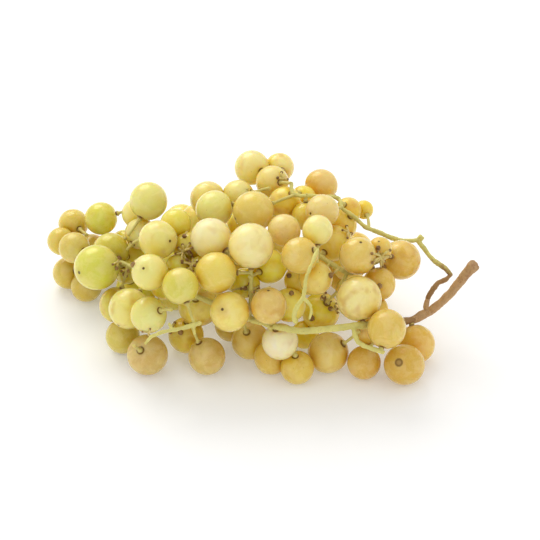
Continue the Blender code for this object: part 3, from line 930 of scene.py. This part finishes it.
class GRAPES_OT_berry_stalks(bpy.types.Operator):
    """Makes each berry's own short stalk and collar"""
    bl_idname = "grapes.berry_stalks"
    bl_label = "Berry Stalks"

    def execute(self, context):
        settings = context.scene.grape_stalks
        stems = np.vstack([corners_of(name) for name in stem_nodes()])
        surface = bunch_surface("_fruit")
        strands = Strands()
        for index, (node, centre, radius, stalk) in enumerate(every_berry()):
            rng = np.random.default_rng(SEED * 3 + index)
            foot = centre + stalk * radius * 0.965
            gaps = np.linalg.norm(stems - foot, axis=1)
            nearest = stems[np.argmin(gaps)]
            reach = min(settings.reach / MM, gaps.min())
            bend = (nearest - foot) / max(gaps.min(), 1e-3) + 0.25 * rng.normal(size=3)
            _, _, _, clear = surface.ray_cast(Vector(foot + stalk * 0.9), Vector(stalk))
            if clear is not None:
                reach = min(reach, clear + 0.5)
            if node in BARE_SCARS:
                continue
            steps = max(4, int(reach / 0.7))
            shares = [step / steps for step in range(steps + 1)]
            # it starts as a flared collar on the berry
            strands.add(
                [above_table(foot + reach * (share * stalk + 0.35 * share ** 2 * bend), 1.4)
                 for share in shares],
                [0.55 + 0.75 * math.exp(-((share * reach - 0.7) / 0.55) ** 2) + 0.15 * share
                 for share in shares],
                [0.95 - 0.75 * min(1.0, share * reach / 1.6) for share in shares])
        material = stem_material("berry_stalk", (0.60, 0.52, 0.15), (0.20, 0.10, 0.03), 0.35)
        strands.grown("berry_stalks", material, 10, settings.thickness)
        return {"FINISHED"}


class GRAPES_OT_dried_berries(bpy.types.Operator):
    """Makes the dried berries in the creases, with the thin stalks that they and others leave"""
    bl_idname = "grapes.dried_berries"
    bl_label = "Dried Berries"

    def execute(self, context):
        settings = context.scene.grape_stalks
        surface = bunch_surface("_fruit")
        rng = np.random.default_rng(SEED * 5)
        heads, sizes, turns = [], [], []
        strands = Strands()
        for across, up, width in SHOT_BERRIES:
            place, aim = seen_at(surface, across, up)
            if place is None:
                continue
            head = above_table(place - aim * (width * 0.28), width * 0.5)
            heads.append(head)
            sizes.append(width * 0.44)
            turns.append(-np.array(aim) + 0.5 * rng.normal(size=3))
            tail = np.array(aim) + 0.4 * rng.normal(size=3)
            steps = range(5)
            strands.add(
                [above_table(head + tail * (width * 0.3 + step * 0.9), STALK_CLEAR) for step in steps],
                [0.42 + 0.05 * step for step in steps], [0.8 - 0.15 * step for step in steps])
        for across, up, length, number in SPRAYS:
            place, aim = seen_at(surface, across, up)
            if place is None:
                continue
            aim = np.array(aim)
            root = above_table(np.array(place) - aim * 0.2, STALK_CLEAR)
            first = rng.uniform(0, 2 * math.pi)
            for twig in range(number):
                angle = first + 2 * math.pi * (twig + rng.uniform(-0.3, 0.3)) / number
                reach = length * rng.uniform(0.55, 1.0)
                aside, rise = reach * math.cos(angle), reach * math.sin(angle)
                place, _ = seen_at(surface, across + aside, up + rise)
                if place is None:
                    place = root + reach * (math.cos(angle) * ACROSS + math.sin(angle) * UP)
                end = above_table(np.array(place) - aim * rng.uniform(0.7, 1.6), 1.0)
                if np.linalg.norm(end - root) > 1.8 * length:
                    end = root + (end - root) * (1.8 * length / np.linalg.norm(end - root))
                bow = rng.normal(size=3) * 0.4 - aim * 0.9
                shares = [step / 6 for step in range(7)]
                strands.add(
                    [above_table(root + (end - root) * share + bow * math.sin(math.pi * share), STALK_CLEAR)
                     for share in shares],
                    [0.42 + 0.10 * (1 - share) + 0.08 * math.sin(step * 2.1)
                     for step, share in enumerate(shares)],
                    [0.15 + 0.55 * share ** 3 for share in shares])
                heads.append(end)
                sizes.append(rng.uniform(0.4, 0.62))
                turns.append(end - root)
        for route in LOOSE_STALKS:
            spots = [(near[0] + (far[0] - near[0]) * share, near[1] + (far[1] - near[1]) * share)
                     for near, far in zip(route, route[1:]) for share in (0.0, 0.25, 0.5, 0.75)]
            lain = []
            for across, up in (*spots, route[-1]):
                place, aim = seen_at(surface, across, up)
                if place is not None:
                    lain.append(above_table(place - aim * 0.35, STALK_CLEAR))
            if len(lain) < 3:
                continue
            for _ in range(3):
                eased = [(a + 2 * b + c) / 4 for a, b, c in zip(lain, lain[1:], lain[2:])]
                lain = [lain[0], *eased, lain[-1]]
            strands.add(lain, [0.46 + 0.12 * math.sin(step * 1.9) for step in range(len(lain))],
                        [0.3] * len(lain))
        mesh = grown("dried_heads", heads, [], sizes, {"turn": turns}, head_tree(), {
            "Wrinkle Depth": settings.wrinkle, "Size": settings.head_size, "Seed": SEED,
            "Material": dried_material()})
        new_piece("dried_heads", mesh)
        thin = stem_material("thin_stalk", (0.62, 0.50, 0.16), (0.22, 0.11, 0.03), 0.5)
        strands.grown("thin_stalks", thin, 8)
        return {"FINISHED"}


class GRAPES_OT_stage(bpy.types.Operator):
    """Makes the floor, the lights and the camera"""
    bl_idname = "grapes.stage"
    bl_label = "Stage"

    def execute(self, context):
        settings = context.scene.grape_stage
        mesh = bpy.data.meshes.new("floor")
        mesh.from_pydata([(-3, -3, 0), (3, -3, 0), (3, 3, 0), (-3, 3, 0)], [], [(0, 1, 2, 3)])
        mesh.materials.append(floor_material())
        floor = bpy.data.objects.new("floor", mesh)
        context.scene.collection.objects.link(floor)

        world = bpy.data.worlds.new("surround")
        world.use_nodes = True
        world.node_tree.nodes["Background"].inputs["Color"].default_value = (1.0, 0.995, 0.985, 1.0)
        world.node_tree.nodes["Background"].inputs["Strength"].default_value = settings.sky
        context.scene.world = world

        towards = Vector(KEY_TOWARDS).normalized()
        light = bpy.data.lights.new("key", "AREA")
        light.shape = "DISK"
        light.size = settings.key_width
        light.energy = settings.key
        light.color = (1.0, 0.99, 0.96)
        lamp = bpy.data.objects.new("key", light)
        lamp.location = towards
        lamp.rotation_euler = towards.to_track_quat("Z", "Y").to_euler()
        context.scene.collection.objects.link(lamp)

        camera = bpy.data.cameras.new("camera")
        camera.sensor_width = SENSOR
        camera.lens = LENS
        camera.clip_start = 0.05
        camera.clip_end = 20
        eye = bpy.data.objects.new("camera", camera)
        spot = eye_place() * MM
        target = Vector(in_view(0, EYE_AIM, 0)) * MM
        eye.location = spot
        eye.rotation_euler = (spot - target).to_track_quat("Z", "Y").to_euler()
        context.scene.collection.objects.link(eye)
        context.scene.camera = eye
        context.scene.view_settings.view_transform = "Standard"
        return {"FINISHED"}


OPERATORS = (GRAPES_OT_single_berries, GRAPES_OT_pressed_berries, GRAPES_OT_stems, GRAPES_OT_peduncle,
             GRAPES_OT_berry_stalks, GRAPES_OT_dried_berries, GRAPES_OT_stage)
SETTINGS = (("grape_berries", BerrySettings), ("grape_stems", StemSettings),
            ("grape_stalks", StalkSettings), ("grape_stage", StageSettings))


class GRAPES_PT_panel(bpy.types.Panel):
    """Lists the pieces of the bunch and their settings"""
    bl_label = "Bunch of Grapes"
    bl_idname = "GRAPES_PT_panel"
    bl_space_type = "VIEW_3D"
    bl_region_type = "UI"
    bl_category = "Grapes"

    def draw(self, context):
        for operator in OPERATORS:
            self.layout.operator(operator.bl_idname)
        for name, group in SETTINGS:
            box = self.layout.box()
            for field in group.__annotations__:
                box.prop(getattr(context.scene, name), field)


def register():
    for name, group in SETTINGS:
        bpy.utils.register_class(group)
        setattr(bpy.types.Scene, name, PointerProperty(type=group))
    for kind in (*OPERATORS, GRAPES_PT_panel):
        bpy.utils.register_class(kind)


def unregister():
    for kind in (GRAPES_PT_panel, *reversed(OPERATORS)):
        bpy.utils.unregister_class(kind)
    for name, group in reversed(SETTINGS):
        delattr(bpy.types.Scene, name)
        bpy.utils.unregister_class(group)


def main():
    register()
    bpy.ops.grapes.single_berries()
    bpy.ops.grapes.pressed_berries()
    bpy.ops.grapes.stems()
    bpy.ops.grapes.peduncle()
    bpy.ops.grapes.berry_stalks()
    bpy.ops.grapes.dried_berries()
    bpy.ops.grapes.stage()


if __name__ == "__main__":
    main()
